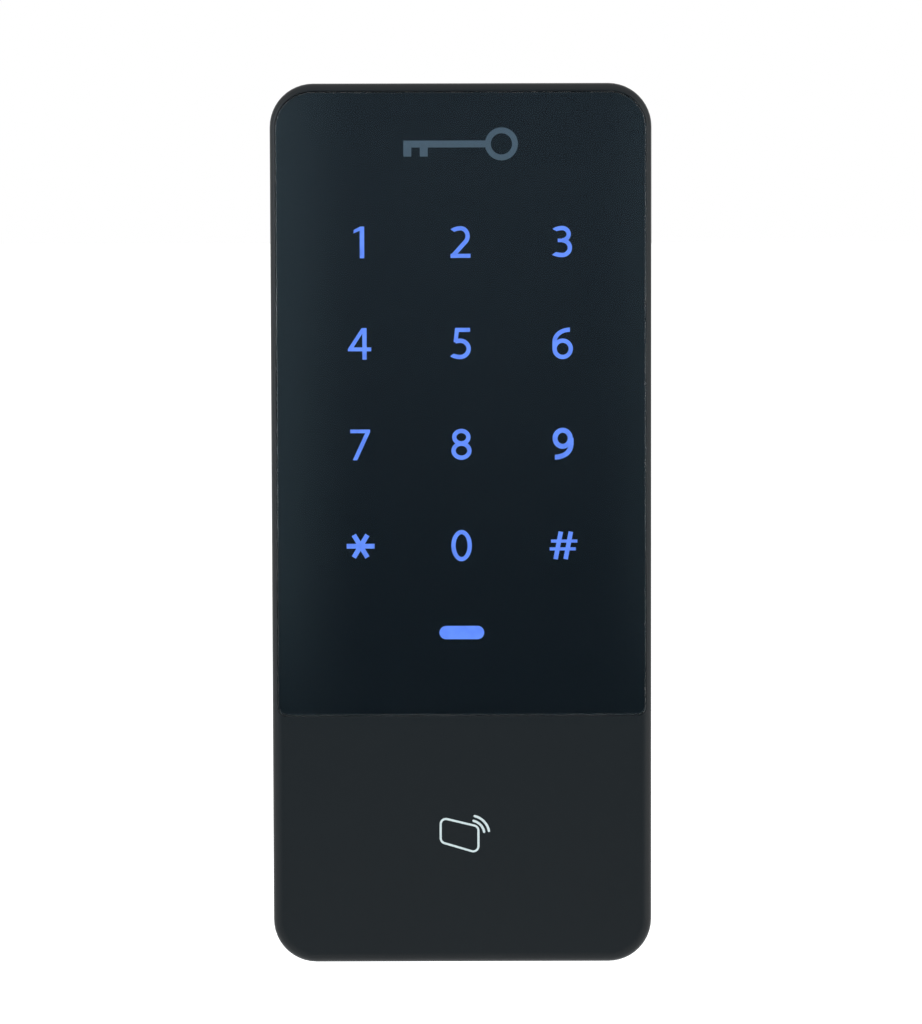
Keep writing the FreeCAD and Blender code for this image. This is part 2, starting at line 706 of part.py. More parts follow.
def filter_capacitors():
    cans = []
    for x, z in ((-19.0, 39.5), (-9.0, 39.5)):
        base = on_back(6.6, 6.6, 0.8, x, z, 0.8)
        can = disc(3.15, board_back - 5.4, board_back - 0.8, x, z)
        cans.append(joined([base, can]))
    return Part.makeCompound(cans)


def power_inductor():
    return on_back(7.0, 7.0, 3.2, 6.5, 39.5, 1.2)


def clock_crystal():
    return on_back(5.0, 3.2, 1.0, 15.0, 13.5, 0.6)


def buzzer():
    back = board_back - 4.6
    return disc(6.0, back, board_back, *vent_centre).cut(disc(1.1, back, back + 1.2, *vent_centre))


def cable_header():
    """Shrouded header for the cable that comes in through the grommet."""
    back = board_back - 5.0
    shell = block(21.0, 5.4, back, board_back, 0.4, 0, header_level)
    return shell.cut(block(19.0, 3.6, back, board_back - 1.0, 0.2, 0, header_level))


def header_pins():
    pitch, count = 2.0, 8
    columns = [(i - (count - 1) / 2) * pitch for i in range(count)]
    return Part.makeCompound([block(0.5, 0.5, board_back - 4.2, board_back - 1.0, 0, x, header_level)
                              for x in columns])


def vent_membrane():
    return disc(4.0, floor_inside, floor_inside + 0.3, *vent_centre)


def rating_label():
    return block(31.0, 21.0, recess_depth - 0.1, recess_depth, 1.0, 0, label_level)


# ---- card antenna ----
def antenna_board():
    return block(45.0, 37.0, antenna_back, wall_inside, 1.5, 0, symbol_level)


def antenna_coil():
    """Square spiral of copper on the back of the antenna board."""
    pitch, track, turns = 1.6, 0.9, 5
    half_width, half_height = 21.0, 17.0
    span = (antenna_back - 0.1, antenna_back)
    rings = []
    for turn in range(turns):
        wide, high = half_width - turn * pitch, half_height - turn * pitch
        for sign in (-1, 1):
            rings.append(block(2 * wide, track, *span, 0, 0, symbol_level + sign * (high - track / 2)))
            rings.append(block(track, 2 * high, *span, 0, sign * (wide - track / 2), symbol_level))
    # each loop is opened at the top and stepped to the next
    top = symbol_level + half_height
    gap = block(2.4, turns * pitch, *span, 0, 0, top - turns * pitch / 2)
    steps = []
    for turn in range(turns - 1):
        outer = top - turn * pitch - track / 2
        steps.append(bar((-1.4, outer), (1.4, outer - pitch), track * 0.8, *span))
    return joined([joined(rings).cut(gap)] + steps)


def ferrite_sheet():
    return block(43.0, 32.0, antenna_back - 0.4, antenna_back - 0.1, 1.0, 0, symbol_level - 1.6)


def antenna_flex():
    """Flat lead from the antenna board to the main board."""
    thick, half_width = 0.15, 4.0
    near, far = antenna_back - 0.1, board_front + 1.1
    path = [(-41.6, near), (-39.6, near), (-37.9, far), (-36.0, far)]
    corners = [point(-half_width, z, depth) for z, depth in path]
    corners += [point(-half_width, z, depth - thick) for z, depth in reversed(path)]
    face = Part.Face(Part.makePolygon(corners + corners[:1]))
    return face.extrude(FreeCAD.Vector(2 * half_width, 0, 0))


def antenna_socket():
    body = block(10.0, 3.4, board_front, board_front + 2.2, 0.2, 0, -34.3)
    return body.cut(block(8.2, 2.2, board_front + 0.9, board_front + 1.3, 0, 0, -35.3))


def build():
    keys = ["1", "2", "3", "4", "5", "6", "7", "8", "9", "star", "0", "hash"]
    nodes = {f"legend_{key}": legend(key, mask_back, glass_back) for key in keys}
    nodes["status_window"] = status_window(mask_back, glass_back)
    nodes["key_emblem"] = key_emblem(mask_back, glass_back)
    nodes["ink_mask"] = ink_mask(list(nodes.values()))
    makers = [card_symbol, front_housing, glass_panel, adhesive_frame, rear_case, case_gasket, cable_grommet,
              wall_bracket, lock_screw, lock_insert, tamper_plunger, tamper_spring, tamper_switch,
              tamper_button, diffuser_film, touch_board, touch_electrodes, light_baffle, main_board,
              key_leds, status_leds, board_header, chip_legs, chip_passives, filter_capacitors,
              power_inductor, clock_crystal, buzzer, cable_header, header_pins, vent_membrane, rating_label,
              antenna_board, antenna_coil, ferrite_sheet, antenna_flex, antenna_socket]
    for maker in makers:
        nodes[maker.__name__] = maker()
    for name, facts in chips.items():
        nodes[name] = chip(**facts)
    nodes["case_screws"] = screws(case_screw_spots, recess_depth + head_sink, **case_screw)
    nodes["board_screws"] = screws(board_screw_spots, board_back, **board_screw)
    return nodes


def main():
    os.makedirs("parts", exist_ok=True)
    for old in os.listdir("parts"):
        if old.endswith(".step"):
            os.remove(os.path.join("parts", old))
    for name, shape in sorted(build().items()):
        solids = shape.Solids
        volume = sum(s.Volume for s in solids)
        print(f"{name:20s} {len(solids):3d} solids {volume:10.2f} mm3 valid {shape.isValid()}")
        shape.exportStep(f"parts/{name}.step")


main()
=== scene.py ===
import bpy
import json
import math
from mathutils import Euler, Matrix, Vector


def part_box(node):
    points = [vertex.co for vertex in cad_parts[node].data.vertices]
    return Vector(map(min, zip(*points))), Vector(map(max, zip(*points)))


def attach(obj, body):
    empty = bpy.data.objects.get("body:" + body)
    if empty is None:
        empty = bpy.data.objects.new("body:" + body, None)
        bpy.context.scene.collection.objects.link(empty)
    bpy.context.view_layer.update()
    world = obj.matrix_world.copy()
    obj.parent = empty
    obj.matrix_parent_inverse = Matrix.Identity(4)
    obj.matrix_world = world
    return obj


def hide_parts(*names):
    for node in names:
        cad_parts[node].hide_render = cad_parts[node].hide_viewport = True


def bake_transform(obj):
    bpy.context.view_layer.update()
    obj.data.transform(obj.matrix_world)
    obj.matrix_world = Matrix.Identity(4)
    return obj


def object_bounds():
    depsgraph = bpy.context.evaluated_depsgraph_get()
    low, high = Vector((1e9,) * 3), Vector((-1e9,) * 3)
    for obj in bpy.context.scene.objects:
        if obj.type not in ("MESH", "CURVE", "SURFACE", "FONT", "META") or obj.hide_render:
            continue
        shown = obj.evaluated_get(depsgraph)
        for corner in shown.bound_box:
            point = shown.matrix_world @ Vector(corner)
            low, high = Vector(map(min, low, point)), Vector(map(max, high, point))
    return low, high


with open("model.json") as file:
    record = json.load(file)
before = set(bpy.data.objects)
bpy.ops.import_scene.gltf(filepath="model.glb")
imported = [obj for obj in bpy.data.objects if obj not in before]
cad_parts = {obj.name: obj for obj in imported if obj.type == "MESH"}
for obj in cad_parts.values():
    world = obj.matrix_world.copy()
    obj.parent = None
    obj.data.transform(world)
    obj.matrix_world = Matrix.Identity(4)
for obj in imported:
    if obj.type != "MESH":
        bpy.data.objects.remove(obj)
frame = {"nodes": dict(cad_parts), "record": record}
cadBox = [list(corner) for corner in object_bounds()]
nodes = frame["nodes"]
slotOf = {part["node"]: part["material_slot"] for part in frame["record"]["subparts"]}
mm = 0.001
hair = 0.001 * mm        # nearer than this is the same place
past = 0.1 * mm          # how far a cutter stands out of the face that it cuts
print("frame loaded:", len(nodes), "nodes")


def shade(red, green, blue):
    # a screen colour, 0 to 255, as the linear colour that a shader wants
    linear = []
    for part in (red / 255, green / 255, blue / 255):
        linear.append(part / 12.92 if part < 0.0404 else ((part + 0.055) / 1.055) ** 2.4)
    return (*linear, 1.0)


class Wire:
    # one shader value that sums and products can be written with
    def __init__(self, finish, socket):
        self.finish = finish
        self.socket = socket

    def maths(self, operation, *values):
        return self.finish.maths(operation, *values)

    def __add__(self, other):
        return self.maths("ADD", self, other)

    def __radd__(self, other):
        return self.maths("ADD", other, self)

    def __sub__(self, other):
        return self.maths("SUBTRACT", self, other)

    def __rsub__(self, other):
        return self.maths("SUBTRACT", other, self)

    def __mul__(self, other):
        return self.maths("MULTIPLY", self, other)

    def __rmul__(self, other):
        return self.maths("MULTIPLY", other, self)

    def __pow__(self, other):
        return self.maths("POWER", self, other)


class Finish:
    # a material, or the room's light, under construction
    def __init__(self, name, library="materials", coordinates="Object"):
        self.made = getattr(bpy.data, library).new(name)
        self.made.use_nodes = True
        self.tree = self.made.node_tree
        self.tree.nodes.clear()
        self.place = self.node("TexCoord", output=coordinates)

    def node(self, kind, settings=None, inputs=None, output=0):
        made = self.tree.nodes.new("ShaderNode" + kind)
        for name, value in (settings or {}).items():
            setattr(made, name, value)
        for name, value in (inputs or {}).items():
            if isinstance(value, Wire):
                self.tree.links.new(value.socket, made.inputs[name])
            else:
                made.inputs[name].default_value = value
        return Wire(self, made.outputs[output]) if len(made.outputs) else None

    def maths(self, operation, *values):
        return self.node("Math", {"operation": operation}, dict(enumerate(values)))

    def noise(self, size, detail=2.0, roughness=0.5, stretch=(1, 1, 1), distortion=0.0):
        # soft random pattern whose lumps are about this size, in metres
        place = self.node("Mapping", inputs={"Vector": self.place, "Scale": stretch})
        return self.node("TexNoise", inputs={"Vector": place, "Scale": 1 / size, "Detail": detail,
                                             "Roughness": roughness, "Distortion": distortion})

    def cells(self, size):
        return self.node("TexVoronoi", inputs={"Vector": self.place, "Scale": 1 / size})

    def between(self, value, low, high):
        # 0 below low, 1 above high, smooth in between
        return self.node("MapRange", {"interpolation_type": "SMOOTHSTEP"},
                         {"Value": value, "From Min": low, "From Max": high})

    def blend(self, factor, first, second):
        return self.node("Mix", {"data_type": "RGBA"}, {0: factor, 6: first, 7: second}, output=2)

    def bump(self, height, depth):
        return self.node("Bump", inputs={"Height": height, "Distance": depth, "Strength": 1.0})

    def worn(self, width=0.4 * mm):
        # 0 on flats, 1 on outside edges
        edge = self.node("Bevel", {"samples": 4}, {"Radius": width})
        geometry = self.node("NewGeometry", output="Normal")
        level = self.node("VectorMath", {"operation": "DOT_PRODUCT"}, {0: edge, 1: geometry},
                          output="Value")
        return self.between(1 - level, 0.02, 0.3)

    def close(self, **sockets):
        # the surface shader, from the names of its sockets with underscores for spaces
        inputs = {name.replace("_", " "): value for name, value in sockets.items()}
        surface = self.node("BsdfPrincipled", inputs=inputs)
        self.node("OutputMaterial", inputs={"Surface": surface})
        return self.made


def tinted(colour, factor):
    return (*[part * factor for part in colour[:3]], 1.0)


def mouldedPlastic(name, colour, roughness=0.42, grainSize=0.22 * mm, grainDepth=0.012 * mm, specular=0.5):
    finish = Finish(name)
    grain = finish.noise(grainSize, detail=1.5, roughness=0.6)
    haze = finish.noise(18 * mm, detail=3)
    handling = finish.noise(3 * mm, detail=4, roughness=0.65)
    base = finish.blend(haze, tinted(colour, 0.92), tinted(colour, 1.1))
    return finish.close(Base_Color=base, Roughness=roughness + 0.05 * handling - 0.03 * haze + 0.04 * grain,
                        Specular_IOR_Level=specular, Normal=finish.bump(grain, grainDepth))


def clearGlass():
    finish = Finish("coverGlass")
    smear = finish.noise(22 * mm, detail=3, stretch=(1, 1, 0.6), distortion=0.6)
    tint = finish.blend(smear, (0.95, 0.97, 0.985, 1), (0.985, 0.995, 1.0, 1))
    return finish.close(Base_Color=tint, Roughness=0.0, Transmission_Weight=1.0, IOR=1.33)


def maskInk():
    finish = Finish("maskInk")
    cloud = finish.noise(30 * mm, detail=2)
    grain = finish.noise(1.5 * mm)
    colour = finish.blend(cloud, shade(7, 10, 13), shade(9, 13, 16))
    return finish.close(Base_Color=colour, Roughness=0.5 + 0.1 * grain, Specular_IOR_Level=0.05)


def litInk(name, low, high):
    # translucent ink with light behind it
    finish = Finish(name)
    patch = finish.noise(1.6 * mm, detail=1)
    glow = finish.blend(finish.between(patch, 0.3, 0.7), low, high)
    return finish.close(Base_Color=tinted(low, 0.3), Roughness=0.4 + 0.1 * patch, Emission_Color=glow,
                        Emission_Strength=1.0)


def screenPrint(name, colour):
    # opaque ink with the fine edge and pinholes of a printed mark
    finish = Finish(name)
    pinholes = finish.noise(0.18 * mm, detail=2, roughness=0.7)
    cloud = finish.noise(4 * mm)
    covered = finish.between(pinholes, 0.35, 0.6)
    base = finish.blend(covered, tinted(colour, 0.88), tinted(colour, 1.06))
    return finish.close(Base_Color=base, Roughness=0.55 + 0.1 * cloud,
                        Normal=finish.bump(pinholes, 0.004 * mm))


def zincSheet():
    finish = Finish("zincSheet")
    spangle = finish.cells(2.2 * mm)
    rolling = finish.noise(0.5 * mm, detail=3, stretch=(1, 1, 0.06))
    stain = finish.noise(16 * mm, detail=4, roughness=0.6)
    streaks = finish.noise(0.9 * mm, detail=4, stretch=(0.15, 1, 1.6), distortion=0.4)
    scratch = finish.between(streaks, 0.62, 0.68)
    plain = finish.blend(finish.between(stain, 0.35, 0.7), (0.3, 0.315, 0.34, 1), (0.42, 0.43, 0.445, 1))
    plain = finish.blend(spangle * 0.3, plain, (0.5, 0.51, 0.53, 1))
    base = finish.blend(finish.worn(0.25 * mm) * 0.6, plain, (0.62, 0.62, 0.63, 1))
    roughness = 0.3 + 0.16 * rolling + 0.1 * stain - 0.08 * scratch
    return finish.close(Base_Color=base, Metallic=1.0, Roughness=roughness,
                        Normal=finish.bump(rolling + 0.6 * scratch, 0.006 * mm))


def turnedMetal(name, colour, roughness=0.28):
    finish = Finish(name)
    line = finish.noise(0.15 * mm, detail=2)
    stain = finish.noise(1.5 * mm, detail=4)
    base = finish.blend(stain, tinted(colour, 0.75), tinted(colour, 1.1))
    base = finish.blend(finish.worn(0.15 * mm) * 0.5, base, tinted(colour, 1.3))
    return finish.close(Base_Color=base, Metallic=1.0, Roughness=roughness + 0.15 * line + 0.1 * stain,
                        Normal=finish.bump(line, 0.003 * mm))


def softRubber():
    finish = Finish("softRubber")
    bloom = finish.noise(2.5 * mm, detail=5, roughness=0.7)
    grain = finish.noise(0.1 * mm, detail=2)
    dusty = finish.between(bloom, 0.5, 0.75)
    base = finish.blend(dusty, (0.012, 0.012, 0.013, 1), (0.035, 0.035, 0.037, 1))
    return finish.close(Base_Color=base, Roughness=0.68 + 0.14 * bloom,
                        Normal=finish.bump(grain, 0.006 * mm))


def labelFilm():
    finish = Finish("labelFilm")
    fibre = finish.noise(0.3 * mm, detail=4, roughness=0.7)
    soil = finish.noise(9 * mm, detail=4)
    base = finish.blend(finish.between(soil, 0.45, 0.8), shade(232, 233, 230), shade(214, 212, 204))
    return finish.close(Base_Color=base, Roughness=0.42 + 0.15 * fibre,
                        Normal=finish.bump(fibre, 0.004 * mm))


def circuitBoard():
    # solder mask over a faint grid of tracks
    finish = Finish("circuitBoard")
    flat = finish.node("Mapping", inputs={"Vector": finish.place, "Rotation": (math.pi / 2, 0, 0)})
    tracks = finish.node("TexBrick", {"offset": 0.37, "squash": 1.6},
                         {"Vector": flat, "Scale": 90.0, "Mortar Size": 0.035, "Mortar Smooth": 0.3},
                         output="Fac")
    weave = finish.noise(0.35 * mm, detail=2)
    cloud = finish.noise(12 * mm)
    base = finish.blend(cloud, shade(10, 62, 40), shade(14, 76, 48))
    base = finish.blend(tracks * 0.55, base, shade(34, 112, 66))
    return finish.close(Base_Color=base, Roughness=0.3 + 0.1 * weave, Coat_Weight=0.4 + 0.2 * cloud,
                        Normal=finish.bump(tracks + 0.15 * weave, 0.02 * mm))


def plainPlastic(name, colour, roughness=0.45, size=0.3 * mm):
    finish = Finish(name)
    grain = finish.noise(size, detail=3)
    cloud = finish.noise(5 * mm, detail=3)
    base = finish.blend(cloud, tinted(colour, 0.88), tinted(colour, 1.08))
    return finish.close(Base_Color=base, Roughness=roughness + 0.12 * grain,
                        Normal=finish.bump(grain, 0.006 * mm))


def sinteredPart(name, colour):
    finish = Finish(name)
    pores = finish.cells(0.25 * mm)
    cloud = finish.noise(3 * mm, detail=4)
    base = finish.blend(cloud, tinted(colour, 0.8), tinted(colour, 1.15))
    return finish.close(Base_Color=base, Roughness=0.62 + 0.15 * cloud,
                        Normal=finish.bump(pores, 0.01 * mm))


finishes = {
    "housing_plastic": mouldedPlastic("housingPlastic", shade(11, 15, 17), specular=0.18),
    "case_plastic": mouldedPlastic("casePlastic", shade(19, 22, 25), roughness=0.5, grainSize=0.35 * mm,
                                   grainDepth=0.02 * mm),
    "cover_glass": clearGlass(),
    "mask_ink": maskInk(),
    "key_light": litInk("keyLight", shade(82, 120, 218), shade(94, 136, 242)),
    "status_light": litInk("statusLight", shade(84, 124, 226), shade(92, 134, 240)),
    "emblem_ink": screenPrint("emblemInk", shade(68, 84, 96)),
    "symbol_ink": screenPrint("symbolInk", shade(180, 187, 184)),
    "foam_tape": plainPlastic("foamTape", shade(24, 24, 25), roughness=0.7),
    "seal_rubber": softRubber(),
    "zinc_steel": zincSheet(),
    "screw_steel": turnedMetal("screwSteel", (0.56, 0.57, 0.58)),
    "insert_brass": turnedMetal("insertBrass", (0.72, 0.5, 0.2), roughness=0.24),
    "acetal": plainPlastic("acetalPlastic", shade(222, 220, 210), roughness=0.35),
    "spring_steel": turnedMetal("springSteel", (0.45, 0.45, 0.46), roughness=0.22),
    "part_plastic": plainPlastic("partPlastic", shade(34, 34, 35)),
    "white_plastic": plainPlastic("whitePlastic", shade(232, 232, 226), roughness=0.5),
    "light_film": plainPlastic("lightFilm", shade(226, 230, 236), roughness=0.6),
    "board_laminate": circuitBoard(),
    "copper": turnedMetal("copperTrack", (0.86, 0.46, 0.3), roughness=0.3),
    "led_body": plainPlastic("ledBody", shade(240, 236, 196), roughness=0.3),
    "chip_epoxy": plainPlastic("chipEpoxy", shade(36, 36, 37), roughness=0.55, size=0.15 * mm),
    "tinned_metal": turnedMetal("tinnedMetal", (0.8, 0.8, 0.78), roughness=0.25),
    "chip_ceramic": sinteredPart("chipCeramic", shade(168, 140, 100)),
    "can_aluminium": turnedMetal("canAluminium", (0.78, 0.79, 0.8), roughness=0.2),
    "inductor_ferrite": sinteredPart("inductorFerrite", shade(66, 67, 70)),
    "crystal_can": turnedMetal("crystalCan", (0.72, 0.71, 0.68), roughness=0.2),
    "buzzer_plastic": plainPlastic("buzzerPlastic", shade(30, 30, 31), roughness=0.4),
    "vent_fabric": sinteredPart("ventFabric", shade(226, 226, 224)),
    "label_paper": labelFilm(),
    "flex_film": plainPlastic("flexFilm", shade(186, 124, 44), roughness=0.3),
}

for name, piece in nodes.items():
    piece.data.materials.clear()
    piece.data.materials.append(finishes[slotOf[name]])
print("finishes set:", len(finishes))


def selectNone():
    if bpy.context.mode != "OBJECT":
        bpy.ops.object.mode_set(mode="OBJECT")
    bpy.ops.object.select_all(action="DESELECT")


def useOnly(piece):
    selectNone()
    piece.select_set(True)
    bpy.context.view_layer.objects.active = piece


def fit(piece, body, slot, *stoodFor):
    # colours the piece, sets its place into its mesh and puts it on its body
    useOnly(piece)
    bpy.ops.object.transform_apply(location=True, rotation=True, scale=True)
    piece.data.materials.clear()
    piece.data.materials.append(finishes[slot])
    if body:
        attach(piece, body)
    if stoodFor:
        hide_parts(*stoodFor)


def shadeByArea(piece):
    # large flats stay flat, and only the rounded edges shade round
    useOnly(piece)
    bpy.ops.object.shade_smooth_by_angle(angle=math.radians(40))
    modifier = piece.modifiers.new("flats", "WEIGHTED_NORMAL")
    modifier.keep_sharp = True
    modifier.weight = 100
    bpy.ops.object.modifier_apply(modifier=modifier.name)


def selectParts(piece, kind, test):
    # in edit mode, selects the faces, edges or vertices whose middle passes the test
    bpy.ops.mesh.select_mode(type=kind)
    bpy.ops.mesh.select_all(action="DESELECT")
    bpy.ops.object.mode_set(mode="OBJECT")
    mesh = piece.data
    if kind == "FACE":
        for face in mesh.polygons:
            face.select = test(face.center, face.normal)
    elif kind == "EDGE":
        for edge in mesh.edges:
            start, end = (mesh.vertices[i].co for i in edge.vertices)
            edge.select = test((start + end) / 2, (end - start).normalized())
    else:
        for vertex in mesh.vertices:
            vertex.select = test(vertex.co)
    bpy.ops.object.mode_set(mode="EDIT")


def cylinder(name, radius, bottom, top, sides=64):
    # upright, about the Z axis
    selectNone()
    bpy.ops.mesh.primitive_cylinder_add(vertices=sides, radius=radius, depth=top - bottom,
                                        location=(0, 0, (top + bottom) / 2))
    made = bpy.context.object
    made.name = name
    bpy.ops.object.transform_apply(location=True, rotation=True, scale=True)
    return made


def box(name, low, high):
    selectNone()
    middle = [(a + b) / 2 for a, b in zip(low, high)]
    bpy.ops.mesh.primitive_cube_add(size=1, location=middle)
    made = bpy.context.object
    made.name = name
    made.scale = [b - a for a, b in zip(low, high)]
    bpy.ops.object.transform_apply(location=True, rotation=True, scale=True)
    return made


def around(level):
    # passes the edges that run round an upright piece at one height
    return lambda at, along: abs(at.z - level) < hair and abs(along.z) < 0.5


def roundEdges(piece, test, width, segments=4):
    useOnly(piece)
    bpy.ops.object.mode_set(mode="EDIT")
    selectParts(piece, "EDGE", test)
    bpy.ops.mesh.bevel(offset=width, segments=segments, affect="EDGES")
    bpy.ops.object.mode_set(mode="OBJECT")


def joinAll(pieces):
    selectNone()
    for piece in pieces:
        piece.select_set(True)
    bpy.context.view_layer.objects.active = pieces[0]
    bpy.ops.object.join()
    return pieces[0]


def carve(piece, cutter):
    # takes the cutter's shape out of the piece
    useOnly(piece)
    cut = piece.modifiers.new("cut", "BOOLEAN")
    cut.operation = "DIFFERENCE"
    cut.solver = "EXACT"
    cut.use_self = True
    cut.object = cutter
    bpy.ops.object.modifier_apply(modifier=cut.name)
    bpy.data.objects.remove(cutter)


def copyAt(piece, name, place):
    useOnly(piece)
    bpy.ops.object.duplicate(linked=False)
    copy = bpy.context.object
    copy.name = name
    copy.location = place
    return copy


def winding(name, wire, radius, pitch, turns, sides=12, steps=48, start=0.0):
    # a wire wound about the Z axis
    selectNone()
    bpy.ops.mesh.primitive_circle_add(vertices=sides, radius=wire, location=(radius, 0, start),
                                      rotation=(math.pi / 2, 0, 0))
    coil = bpy.context.object
    coil.name = name
    bpy.ops.object.transform_apply(location=True, rotation=True, scale=True)
    turn = coil.modifiers.new("turn", "SCREW")
    turn.axis = "Z"
    turn.angle = 2 * math.pi * turns
    turn.screw_offset = pitch * turns
    turn.steps = turn.render_steps = round(steps * turns)
    bpy.ops.object.modifier_apply(modifier=turn.name)
    return coil


def closeUp(piece):
    # merges joints, caps open ends and turns every face outwards
    useOnly(piece)
    bpy.ops.object.mode_set(mode="EDIT")
    bpy.ops.mesh.select_all(action="SELECT")
    bpy.ops.mesh.remove_doubles(threshold=hair)
    bpy.ops.mesh.fill_holes(sides=0)
    bpy.ops.mesh.select_all(action="SELECT")
    bpy.ops.mesh.normals_make_consistent(inside=False)
    bpy.ops.object.mode_set(mode="OBJECT")


softening = dict(segments=3, sharpFrom=math.radians(38), flatBefore=math.radians(0.5),
                 flatAfter=math.radians(0.3), sliver=0.004 * mm)


def softCopy(name, node, width):
    # a merged copy of a CAD node with its sharp outside and inside edges rounded
    selectNone()
    copy = bpy.data.objects.new(name, nodes[node].data.copy())
    bpy.context.scene.collection.objects.link(copy)
    useOnly(copy)
    bpy.ops.mesh.customdata_custom_splitnormals_clear()
    bpy.ops.object.mode_set(mode="EDIT")
    bpy.ops.mesh.select_all(action="SELECT")
    bpy.ops.mesh.remove_doubles(threshold=hair)
    bpy.ops.mesh.dissolve_limited(angle_limit=softening["flatBefore"])
    bpy.ops.object.mode_set(mode="OBJECT")
    rounding = copy.modifiers.new("rounding", "BEVEL")
    rounding.width = width
    rounding.segments = softening["segments"]
    rounding.limit_method = "ANGLE"
    rounding.angle_limit = softening["sharpFrom"]
    rounding.use_clamp_overlap = False
    rounding.loop_slide = False
    bpy.ops.object.modifier_apply(modifier=rounding.name)
    bpy.ops.object.mode_set(mode="EDIT")
    bpy.ops.mesh.select_all(action="SELECT")
    bpy.ops.mesh.dissolve_degenerate(threshold=softening["sliver"])
    bpy.ops.mesh.dissolve_limited(angle_limit=softening["flatAfter"])
    bpy.ops.object.mode_set(mode="OBJECT")
    closeUp(copy)
    shadeByArea(copy)
    return copy


# cover glass: one sheet with polished edges
glass = dict(
    topRadius=6.8 * mm, bottomRadius=1.7 * mm, frontEdge=0.3 * mm, backEdge=0.1 * mm,
    gap=0.02 * mm,           # of air between the glass and the ink behind it
)


def coverGlass():
    low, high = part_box("glass_panel")
    middle = (low + high) / 2
    front, back = low.y, high.y - glass["gap"]
    selectNone()
    bpy.ops.mesh.primitive_plane_add(size=1, location=(middle.x, back, middle.z),
                                     rotation=(math.pi / 2, 0, 0))
    sheet = bpy.context.object
    sheet.name = "coverGlass"
    sheet.scale = (high.x - low.x, high.z - low.z, 1)
    bpy.ops.object.transform_apply(location=True, rotation=True, scale=True)
    bpy.ops.object.mode_set(mode="EDIT")
    for radius, segments, atTop in ((glass["topRadius"], 24, True), (glass["bottomRadius"], 12, False)):
        selectParts(sheet, "VERT", lambda at: (at.z > middle.z) == atTop)
        bpy.ops.mesh.bevel(offset=radius, offset_type="OFFSET", segments=segments, affect="VERTICES",
                           clamp_overlap=False)
    bpy.ops.mesh.select_all(action="SELECT")
    bpy.ops.mesh.extrude_region_move(TRANSFORM_OT_translate={"value": (0, front - back, 0)})
    for level, width in ((front, glass["frontEdge"]), (back, glass["backEdge"])):
        selectParts(sheet, "EDGE", lambda at, along: abs(at.y - level) < hair)
        bpy.ops.mesh.bevel(offset=width, segments=5, affect="EDGES")
    bpy.ops.mesh.select_all(action="SELECT")
    bpy.ops.mesh.normals_make_consistent(inside=False)
    bpy.ops.object.mode_set(mode="OBJECT")
    shadeByArea(sheet)
    fit(sheet, "reader", "cover_glass", "glass_panel")


coverGlass()
print("cover glass made")


# screws: threaded shanks, domed heads and driver recesses
caseScrew = dict(
    head=2.7 * mm, headHeight=2.0 * mm, crest=1.45 * mm, threadDepth=0.3 * mm, length=10.0 * mm,
    pitch=1.1 * mm,
    spots=[(x * mm, z * mm) for z in (74.5, -41.0, -74.5) for x in (-27.0, 27.0)],
)
boardScrew = dict(
    head=1.9 * mm, headHeight=1.4 * mm, crest=0.95 * mm, threadDepth=0.2 * mm, length=4.6 * mm,
    pitch=0.75 * mm,
    spots=[(x * mm, z * mm) for x, z in ((-12.0, 73.0), (12.0, 73.0), (-22.0, -33.2), (22.0, -33.2))],
)
lockScrew = dict(
    head=2.75 * mm, headHeight=2.0 * mm, crest=1.5 * mm, threadDepth=0.26 * mm, length=8.0 * mm,
    pitch=0.5 * mm,
    depth=5.6 * mm,          # of its axis in front of the wall
)
screwShape = dict(
    dome=0.62, rim=0.08, recess=0.55,      # parts of the head's height
    point=0.4,                             # part of the shank's radius
    sunk=0.02 * mm,                        # of the shank into the head
    short=0.05 * mm,                       # of the tip before the full length
    threadStart=0.8,                       # turns above the head
    bareTurns=1.6,                         # turns that both ends go without
)

# parts of the head's radius
crossShape = dict(armLength=0.6, armWidth=0.13, taper=(0.45, 0.6, 1))
starShape = dict(hub=0.36, lobe=0.14, ring=0.33, lobes=6)


def crossCutter(size, bottom, depth):
    length, width = crossShape["armLength"] * size, crossShape["armWidth"] * size
    arms = []
    for turn in (0, 90):
        arm = box("arm", (-length, -width, bottom - past), (length, width, bottom + depth))
        bpy.ops.object.mode_set(mode="EDIT")
        selectParts(arm, "FACE", lambda at, normal: normal.z > 0.9)
        bpy.ops.transform.resize(value=crossShape["taper"])
        bpy.ops.object.mode_set(mode="OBJECT")
        arm.rotation_euler.z = math.radians(turn)
        arms.append(arm)
    return joinAll(arms)


def starCutter(size, bottom, depth):
    ring = starShape["ring"] * size
    lobes = [cylinder("lobes", starShape["hub"] * size, bottom - past, bottom + depth, sides=24)]
    for turn in range(starShape["lobes"]):
        lobe = cylinder("lobe", starShape["lobe"] * size, bottom - past, bottom + depth, sides=20)
        angle = 2 * math.pi * turn / starShape["lobes"]
        lobe.location = (ring * math.cos(angle), ring * math.sin(angle), 0)
        lobes.append(lobe)
    return joinAll(lobes)


